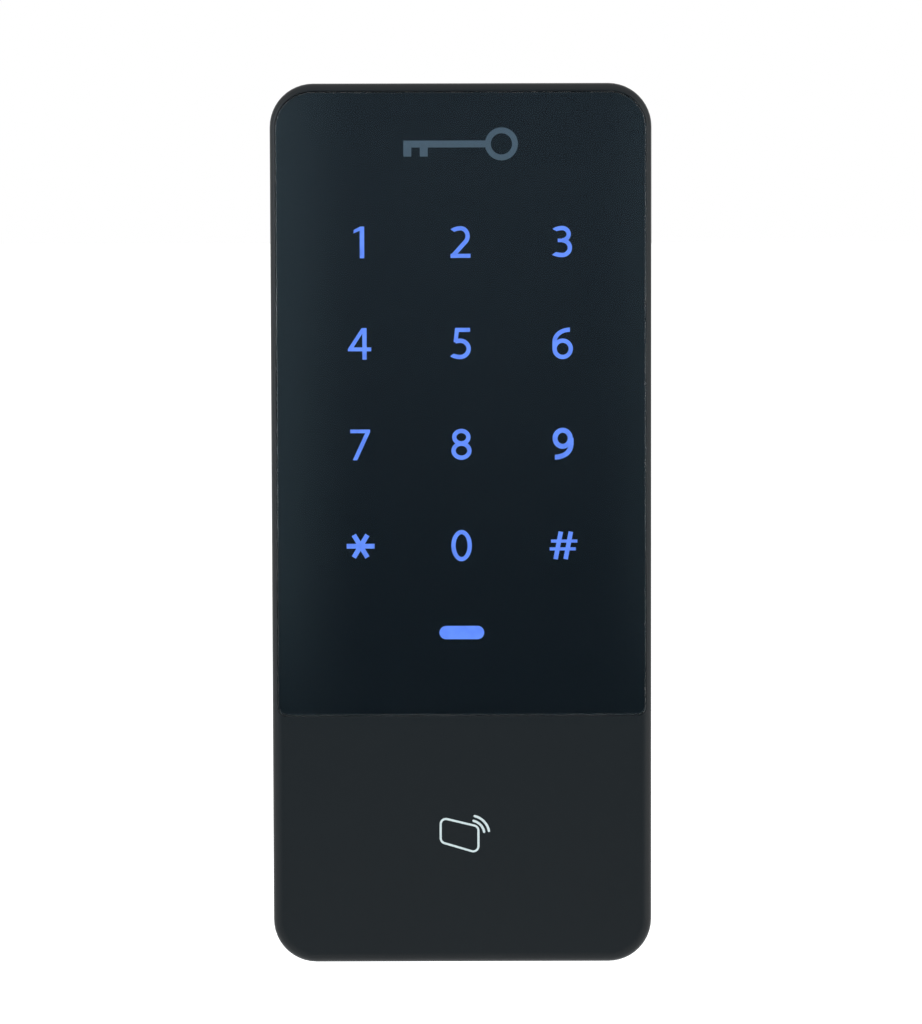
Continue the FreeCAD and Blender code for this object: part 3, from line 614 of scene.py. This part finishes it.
def makeScrew(name, facts, cutter):
    # head from -headHeight to 0 on the Z axis, shank above it
    size, height, pitch = facts["head"], facts["headHeight"], facts["pitch"]
    root = facts["crest"] - facts["threadDepth"]
    tip = facts["length"] - screwShape["short"]
    head = cylinder(name, size, -height, 0)
    roundEdges(head, around(-height), screwShape["dome"] * height, segments=8)
    roundEdges(head, around(0), screwShape["rim"] * height, segments=2)
    carve(head, cutter(size, -height, screwShape["recess"] * height))
    shank = cylinder("shank", root, -screwShape["sunk"], tip, sides=32)
    roundEdges(shank, around(tip), screwShape["point"] * root, segments=1)
    turns = round(facts["length"] / pitch - screwShape["bareTurns"])
    ridge = winding("ridge", facts["threadDepth"], root, pitch, turns, sides=4, steps=28,
                    start=screwShape["threadStart"] * pitch)
    closeUp(ridge)
    screw = joinAll([head, shank, ridge])
    useOnly(screw)
    bpy.ops.object.shade_smooth_by_angle(angle=math.radians(35))
    return screw


def fitScrews(name, node, facts):
    # heads towards the wall, shanks towards the front
    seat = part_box(node)[1].y - facts["headHeight"]
    pattern = makeScrew(name, facts, crossCutter)
    pattern.rotation_euler = (math.pi / 2, 0, 0)
    for i, (x, z) in enumerate(facts["spots"]):
        screw = copyAt(pattern, f"{name}_{i + 1}", (x, seat, z))
        fit(screw, "reader", "screw_steel", node)
    bpy.data.objects.remove(pattern)


def fitLockScrew():
    screw = makeScrew("lockScrew", lockScrew, starCutter)
    screw.location = (0, -lockScrew["depth"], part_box("lock_screw")[0].z + lockScrew["headHeight"])
    fit(screw, "lock_screw", "screw_steel", "lock_screw")


fitScrews("caseScrew", "case_screws", caseScrew)
fitScrews("boardScrew", "board_screws", boardScrew)
fitLockScrew()
print("screws made")


# tamper plunger and its coil spring
spring = dict(wire=0.175 * mm, radius=3.0 * mm, deadPitch=0.37 * mm, openTurns=2)


def tamperCoil():
    low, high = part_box("tamper_spring")
    axis = (low.z + high.z) / 2
    length = high.y - low.y - 2 * spring["wire"]
    openPitch = (length - 2 * spring["deadPitch"]) / spring["openTurns"]
    turns, start = [], spring["wire"]
    dead, opened = (spring["deadPitch"], 1), (openPitch, spring["openTurns"])
    for pitch, count in (dead, opened, dead):
        turns.append(winding("tamperCoil", spring["wire"], spring["radius"], pitch, count, start=start))
        start += pitch * count
    coil = joinAll(turns)
    closeUp(coil)
    bpy.ops.object.shade_smooth_by_angle(angle=math.radians(60))
    coil.rotation_euler = (math.pi / 2, 0, 0)
    coil.location = (0, high.y, axis)
    fit(coil, None, "spring_steel", "tamper_spring")
    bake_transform(coil)


pin = dict(radius=2.5 * mm, flange=3.6 * mm, flangeHeight=0.77 * mm, tipRound=0.7 * mm,
           flangeRound=0.15 * mm)


def tamperPin():
    low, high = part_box("tamper_plunger")
    axis = (low.z + high.z) / 2
    length = high.y - low.y
    flangeStart = length - pin["flangeHeight"]
    body = cylinder("tamperPin", pin["radius"], 0, flangeStart)
    bpy.ops.object.mode_set(mode="EDIT")
    selectParts(body, "FACE", lambda at, normal: normal.z > 0.9)
    bpy.ops.mesh.extrude_region_move()
    bpy.ops.transform.resize(value=(pin["flange"] / pin["radius"],) * 2 + (1,))
    bpy.ops.mesh.extrude_region_move(TRANSFORM_OT_translate={"value": (0, 0, pin["flangeHeight"])})
    bpy.ops.object.mode_set(mode="OBJECT")
    roundEdges(body, around(0), pin["tipRound"], segments=6)
    roundEdges(body, lambda at, along: at.z > flangeStart - hair and at.xy.length > 0.9 * pin["flange"]
               and abs(along.z) < 0.5, pin["flangeRound"], segments=3)
    shadeByArea(body)
    body.rotation_euler = (math.pi / 2, 0, 0)
    body.location = (0, high.y, axis)
    fit(body, "plunger", "acetal", "tamper_plunger")


tamperCoil()
tamperPin()
print("tamper switch parts made")


# cable grommet: a rubber ring with two lips and a funnel-shaped bore
grommet = dict(lip=7.0 * mm, neck=5.4 * mm, bore=3.0 * mm, neckStart=0.9 * mm, neckEnd=2.2 * mm,
               rounding=0.35 * mm)


def cableGrommet():
    low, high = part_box("cable_grommet")
    depth = high.y - low.y
    # only the box's face at y 0 is kept, as the ring's section
    ring = box("cableGrommet", (grommet["bore"], -1 * mm, 0), (grommet["neck"], 0, depth))
    bpy.ops.object.mode_set(mode="EDIT")
    selectParts(ring, "FACE", lambda at, normal: normal.y < 0.5)
    bpy.ops.mesh.delete(type="FACE")
    for level in (grommet["neckStart"], grommet["neckEnd"]):
        bpy.ops.mesh.select_all(action="SELECT")
        bpy.ops.mesh.bisect(plane_co=(0, 0, level), plane_no=(0, 0, 1))
    selectParts(ring, "EDGE", lambda at, along: at.x > grommet["neck"] - hair and abs(along.z) > 0.5
                and not grommet["neckStart"] < at.z < grommet["neckEnd"])
    outward = (grommet["lip"] - grommet["neck"], 0, 0)
    bpy.ops.mesh.extrude_edges_move(TRANSFORM_OT_translate={"value": outward})
    bpy.ops.mesh.select_all(action="SELECT")
    bpy.ops.mesh.remove_doubles(threshold=hair)
    bpy.ops.mesh.dissolve_limited(angle_limit=math.radians(2))
    bpy.ops.mesh.bevel(offset=grommet["rounding"], segments=5, affect="VERTICES")
    bpy.ops.mesh.delete(type="ONLY_FACE")
    bpy.ops.mesh.select_all(action="SELECT")
    bpy.ops.mesh.spin(steps=72, angle=2 * math.pi, center=(0, 0, 0), axis=(0, 0, 1))
    bpy.ops.object.mode_set(mode="OBJECT")
    closeUp(ring)
    bpy.ops.object.shade_smooth_by_angle(angle=math.radians(50))
    ring.rotation_euler = (math.pi / 2, 0, 0)
    ring.location = (0, high.y, (low.z + high.z) / 2)
    fit(ring, "reader", "seal_rubber", "cable_grommet")


cableGrommet()
print("grommet made")


# moulded and pressed shells, with the small roundings that their tools leave
softShells = {
    "wallBracket": dict(node="wall_bracket", body="bracket", slot="zinc_steel", width=0.16 * mm),
    "rearShell": dict(node="rear_case", body="reader", slot="case_plastic", width=0.18 * mm),
    "frontShell": dict(node="front_housing", body="reader", slot="housing_plastic", width=0.12 * mm),
    "headerShroud": dict(node="cable_header", body="reader", slot="white_plastic", width=0.12 * mm),
    "switchBody": dict(node="tamper_switch", body="reader", slot="part_plastic", width=0.1 * mm),
    "lightFrame": dict(node="light_baffle", body="reader", slot="white_plastic", width=0.12 * mm),
    "inductorBody": dict(node="power_inductor", body="reader", slot="inductor_ferrite", width=0.25 * mm),
    "crystalCap": dict(node="clock_crystal", body="reader", slot="crystal_can", width=0.15 * mm),
}

for name, facts in softShells.items():
    shell = softCopy(name, facts["node"], facts["width"])
    fit(shell, facts["body"], facts["slot"], facts["node"])
print("shells rounded:", len(softShells))


# parts on the boards, modelled with their ends at z 0 and then stood on the board
def standOnBoard(piece, x, z, boardFace):
    piece.rotation_euler = (-math.pi / 2, 0, 0)
    piece.location = (x, boardFace, z)


filterCap = dict(
    base=6.6 * mm, baseHeight=0.8 * mm, corner=1.1 * mm, baseRound=0.12 * mm,
    can=3.15 * mm, sunk=0.05 * mm, groove=1.7 * mm, grooveHalf=0.3 * mm, waist=0.93,
    topInset=0.55 * mm, topDrop=0.08 * mm, topRound=0.35 * mm,
    spots=(-19.0 * mm, -9.0 * mm),
)


def fitFilterCaps():
    low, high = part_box("filter_capacitors")
    height, half = high.y - low.y, filterCap["base"] / 2
    base = box("base", (-half, -half, 0), (half, half, filterCap["baseHeight"]))
    roundEdges(base, lambda at, along: abs(along.z) > 0.9 and at.x > 0, filterCap["corner"], segments=1)
    roundEdges(base, around(filterCap["baseHeight"]), filterCap["baseRound"], segments=2)
    can = cylinder("can", filterCap["can"], filterCap["baseHeight"] - filterCap["sunk"], height)
    bpy.ops.object.mode_set(mode="EDIT")
    for step in (-filterCap["grooveHalf"], 0, filterCap["grooveHalf"]):
        bpy.ops.mesh.select_all(action="SELECT")
        bpy.ops.mesh.bisect(plane_co=(0, 0, filterCap["groove"] + step), plane_no=(0, 0, 1))
    selectParts(can, "VERT", lambda at: abs(at.z - filterCap["groove"]) < hair)
    bpy.ops.transform.resize(value=(filterCap["waist"], filterCap["waist"], 1))
    selectParts(can, "FACE", lambda at, normal: normal.z > 0.9)
    bpy.ops.mesh.inset(thickness=filterCap["topInset"], depth=-filterCap["topDrop"])
    bpy.ops.object.mode_set(mode="OBJECT")
    roundEdges(can, lambda at, along: around(height)(at, along) and at.xy.length > 0.95 * filterCap["can"],
               filterCap["topRound"])
    pattern = joinAll([base, can])
    bpy.ops.object.shade_smooth_by_angle(angle=math.radians(40))
    for i, x in enumerate(filterCap["spots"]):
        cap = copyAt(pattern, f"filterCap_{i + 1}", (0, 0, 0))
        standOnBoard(cap, x, (low.z + high.z) / 2, low.y)
        fit(cap, "reader", "can_aluminium", "filter_capacitors")
    bpy.data.objects.remove(pattern)


buzzerCan = dict(step=1.3 * mm, stepDrop=0.2 * mm, hole=1.1 * mm, holeDepth=1.2 * mm, rim=0.5 * mm)


def fitBuzzer():
    low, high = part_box("buzzer")
    radius, height = (high.x - low.x) / 2, high.y - low.y
    can = cylinder("buzzerCan", radius, 0, height, sides=72)
    bpy.ops.object.mode_set(mode="EDIT")
    selectParts(can, "FACE", lambda at, normal: normal.z > 0.9)
    bpy.ops.mesh.inset(thickness=buzzerCan["step"], depth=-buzzerCan["stepDrop"])
    bpy.ops.mesh.inset(thickness=radius - buzzerCan["step"] - buzzerCan["hole"])
    bpy.ops.mesh.extrude_region_move(TRANSFORM_OT_translate={"value": (0, 0, -buzzerCan["holeDepth"])})
    bpy.ops.object.mode_set(mode="OBJECT")
    roundEdges(can, lambda at, along: around(height)(at, along) and at.xy.length > 0.95 * radius,
               buzzerCan["rim"])
    shadeByArea(can)
    standOnBoard(can, (low.x + high.x) / 2, (low.z + high.z) / 2, low.y)
    fit(can, "reader", "buzzer_plastic", "buzzer")


chip = dict(
    names=["controller_chip", "touch_chip", "card_reader_chip", "bus_driver_chip", "power_chip"],
    edge=0.13 * mm,
    dot=0.4 * mm, dotDepth=0.09 * mm, dotInset=0.95 * mm,    # the mark beside the first leg
)


def fitChips():
    for name in chip["names"]:
        low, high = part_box(name)
        body = box(name + "Body", low, high)
        roundEdges(body, lambda at, along: True, chip["edge"], segments=2)
        dot = cylinder("dot", chip["dot"], -chip["dotDepth"], past, sides=32)
        standOnBoard(dot, low.x + chip["dotInset"], high.z - chip["dotInset"], high.y)
        carve(body, dot)
        shadeByArea(body)
        fit(body, "reader", "chip_epoxy", name)


keyLight = dict(size=(3.0 * mm, 2.8 * mm), corner=0.25 * mm, cup=1.05 * mm, cupDepth=0.35 * mm,
                cupTaper=0.7, pitch=19.15 * mm, columns=3, rows=4)


def fitKeyLights():
    low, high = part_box("key_leds")
    width, height = keyLight["size"]
    depth = high.y - low.y
    pattern = box("pattern", (-width / 2, -height / 2, 0), (width / 2, height / 2, depth))
    roundEdges(pattern, lambda at, along: abs(along.z) > 0.9, keyLight["corner"], segments=3)
    cup = cylinder("cup", keyLight["cup"], depth - keyLight["cupDepth"], depth + past, sides=40)
    bpy.ops.object.mode_set(mode="EDIT")
    selectParts(cup, "FACE", lambda at, normal: normal.z < -0.9)
    bpy.ops.transform.resize(value=(keyLight["cupTaper"], keyLight["cupTaper"], 1))
    bpy.ops.object.mode_set(mode="OBJECT")
    carve(pattern, cup)
    shadeByArea(pattern)
    pattern.rotation_euler = (math.pi / 2, 0, 0)
    for row in range(keyLight["rows"]):
        for column in range(keyLight["columns"]):
            x = low.x + width / 2 + column * keyLight["pitch"]
            z = high.z - height / 2 - row * keyLight["pitch"]
            lamp = copyAt(pattern, f"keyLight_{row + 1}_{column + 1}", (x, high.y, z))
            fit(lamp, "reader", "led_body", "key_leds")
    bpy.data.objects.remove(pattern)


threadNut = dict(core=1.85 * mm, bore=1.52 * mm, crest=2.1 * mm, teeth=26, grooveFrom=2.9 * mm,
                 grooveTo=3.8 * mm)


def fitThreadNut():
    # knurled brass nut with a groove round its middle
    low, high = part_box("lock_insert")
    sides = 2 * threadNut["teeth"]
    nut = cylinder("threadNut", threadNut["core"], 0, high.z - low.z, sides=sides)
    bpy.ops.object.mode_set(mode="EDIT")
    selectParts(nut, "FACE", lambda at, normal: abs(normal.z) > 0.9)
    bpy.ops.mesh.inset(thickness=threadNut["core"] - threadNut["bore"])
    bpy.ops.mesh.bridge_edge_loops()
    for level in (threadNut["grooveFrom"], threadNut["grooveTo"]):
        bpy.ops.mesh.select_all(action="SELECT")
        bpy.ops.mesh.bisect(plane_co=(0, 0, level), plane_no=(0, 0, 1))
    selectParts(nut, "FACE", lambda at, normal: at.xy.length > 0.97 * threadNut["core"]
                and abs(normal.z) < 0.1 and not threadNut["grooveFrom"] < at.z < threadNut["grooveTo"]
                and round(math.degrees(math.atan2(at.y, at.x)) / (360 / sides) - 0.5) % 2 == 0)
    rise = threadNut["crest"] - threadNut["core"]
    bpy.ops.mesh.extrude_faces_move(TRANSFORM_OT_shrink_fatten={"value": rise})
    bpy.ops.object.mode_set(mode="OBJECT")
    closeUp(nut)
    bpy.ops.object.shade_smooth_by_angle(angle=math.radians(20))
    nut.location = ((low.x + high.x) / 2, (low.y + high.y) / 2, low.z)
    fit(nut, "reader", "insert_brass", "lock_insert")


fitFilterCaps()
fitBuzzer()
fitChips()
fitKeyLights()
fitThreadNut()
print("board parts made")


# floor, light and camera
studio = dict(
    floorDrop=0.11,          # from the lowest point to the floor
    floorSize=30,
    floorGlow=0.3,
    lensDistance=0.9,        # from the front of the housing
    lens=167.2,
    tilt=4.17,
    aimHeight=0.00265,
    aimRight=-0.0001,
    roll=-0.147,
)


def floorFinish():
    finish = Finish("paleFloor")
    cloud = finish.noise(0.6, detail=2)
    base = finish.blend(cloud, (0.93, 0.93, 0.93, 1), (0.95, 0.95, 0.95, 1))
    return finish.close(Base_Color=base, Roughness=0.6 + 0.1 * cloud, Emission_Color=(1, 1, 1, 1),
                        Emission_Strength=studio["floorGlow"])


def layFloor():
    level = cadBox[0][2] - studio["floorDrop"]
    bpy.ops.mesh.primitive_plane_add(size=studio["floorSize"], location=(0, 0, level))
    floor = bpy.context.object
    floor.name = "floor"
    floor.data.materials.append(floorFinish())


white, coolWhite = (1, 1, 1), (0.8, 0.9, 1.0)
centre = (0, 0, 0)
lamps = {
    "leftBox": dict(place=(-0.95, -0.45, 0.45), target=centre, size=(0.5, 1.0), watts=2.76, colour=white),
    "rightBox": dict(place=(0.95, -0.45, 0.3), target=centre, size=(0.5, 1.0), watts=4.6, colour=white),
    "topBox": dict(place=(0, -0.35, 1.1), target=centre, size=(1.2, 0.6), watts=2.2, colour=white),
    # beside the upper half, so that its edges shine more than the lower ones
    "leftRim": dict(place=(-0.2, -0.12, 0.07), target=(-0.036, -0.02, 0.05), size=(0.16, 0.18),
                    watts=0.315, colour=coolWhite),
    "rightRim": dict(place=(0.2, -0.12, 0.07), target=(0.036, -0.02, 0.05), size=(0.16, 0.18),
                     watts=0.09, colour=coolWhite),
}


def lightStudio():
    walls = Finish("studio", "worlds", "Generated")
    walls.node("OutputWorld", inputs={"Surface": walls.node("Background", inputs={"Color": (*white, 1)})})
    bpy.context.scene.world = walls.made
    for name, facts in lamps.items():
        lamp = bpy.data.lights.new(name, "AREA")
        lamp.shape = "RECTANGLE"
        lamp.size, lamp.size_y = facts["size"]
        lamp.energy = facts["watts"]
        lamp.color = facts["colour"]
        holder = bpy.data.objects.new(name, lamp)
        place = Vector(facts["place"])
        holder.location = place
        holder.rotation_euler = (Vector(facts["target"]) - place).to_track_quat("-Z", "Y").to_euler()
        holder.visible_camera = False
        bpy.context.scene.collection.objects.link(holder)


screen = dict(
    distance=0.6,                          # in front of the wall plane
    halfWidth=1.1,
    halfHeight=0.9,
    fade=(0.35, 1.0),                      # outwards, from covered to clear, in parts of its size
    foot=(-0.2, -0.11),                    # upwards, from clear to covered
    topGlowFrom=(-0.11, 0.1),              # upwards, from none to all
    sideGlowFrom=(0.035, 0.08),            # outwards on both sides
    sideGlowUp=(-0.13, -0.05),
    middle=0.006,                          # to the right
    plain=(0.06, 0.12, 0.17, 1),           # what the glass mirrors at its foot
    topGlow=(0.2, 0.27, 0.34, 1),          # more at its top
    sideGlow=(0.37, 0.56, 0.64, 1),        # and at its two sides
)


def darkScreen():
    # a soft-edged screen between the part and the room, which only the part sees
    finish = Finish("darkScreen")
    across, up = [finish.node("SeparateXYZ", inputs={"Vector": finish.place}, output=axis) for axis in "XZ"]
    black = (0, 0, 0, 1)
    overhead = finish.blend(finish.between(up, *screen["topGlowFrom"]), black, screen["topGlow"])
    offCentre = finish.maths("ABSOLUTE", across - screen["middle"])
    edges = finish.between(offCentre, *screen["sideGlowFrom"]) * finish.between(up, *screen["sideGlowUp"])
    aside = finish.blend(edges, black, screen["sideGlow"])
    colour = finish.node("VectorMath", {"operation": "ADD"}, {0: overhead, 1: aside})
    colour = finish.node("VectorMath", {"operation": "ADD"}, {0: colour, 1: screen["plain"][:3]})
    outward = ((across * (1 / screen["halfWidth"])) ** 2 + (up * (1 / screen["halfHeight"])) ** 2) ** 0.5
    glow = finish.node("Emission", inputs={"Color": colour, "Strength": 1.0})
    clear = finish.node("BsdfTransparent")
    covered = (1 - finish.between(outward, *screen["fade"])) * finish.between(up, *screen["foot"])
    surface = finish.node("MixShader", inputs={0: covered, 1: clear, 2: glow})
    finish.node("OutputMaterial", inputs={"Surface": surface})
    bpy.ops.mesh.primitive_plane_add(size=2, location=(0, -screen["distance"], 0),
                                     rotation=(math.pi / 2, 0, 0))
    card = bpy.context.object
    card.name = "darkScreen"
    card.scale = (screen["halfWidth"], screen["halfHeight"], 1)
    bpy.ops.object.transform_apply(location=True, rotation=True, scale=True)
    card.data.materials.append(finish.made)
    card.visible_camera = False
    card.visible_shadow = False


def placeCamera():
    low, high = cadBox
    tilt = math.radians(studio["tilt"])
    reach = studio["lensDistance"]
    aim = Vector((studio["aimRight"], low[1], studio["aimHeight"]))
    camera = bpy.data.cameras.new("camera")
    camera.lens = studio["lens"]
    camera.sensor_fit = "AUTO"
    camera.sensor_width = 36
    camera.clip_start, camera.clip_end = 0.05, 60
    holder = bpy.data.objects.new("camera", camera)
    holder.location = aim + Vector((0, -math.cos(tilt), math.sin(tilt))) * reach
    turn = Euler((math.pi / 2 - tilt, 0, 0)).to_quaternion()
    spin = Euler((0, 0, math.radians(studio["roll"]))).to_quaternion()
    holder.rotation_euler = (turn @ spin).to_euler()
    bpy.context.scene.collection.objects.link(holder)
    bpy.context.scene.camera = holder


layFloor()
darkScreen()
lightStudio()
placeCamera()
bpy.context.scene.view_settings.view_transform = "Standard"
print("studio ready")
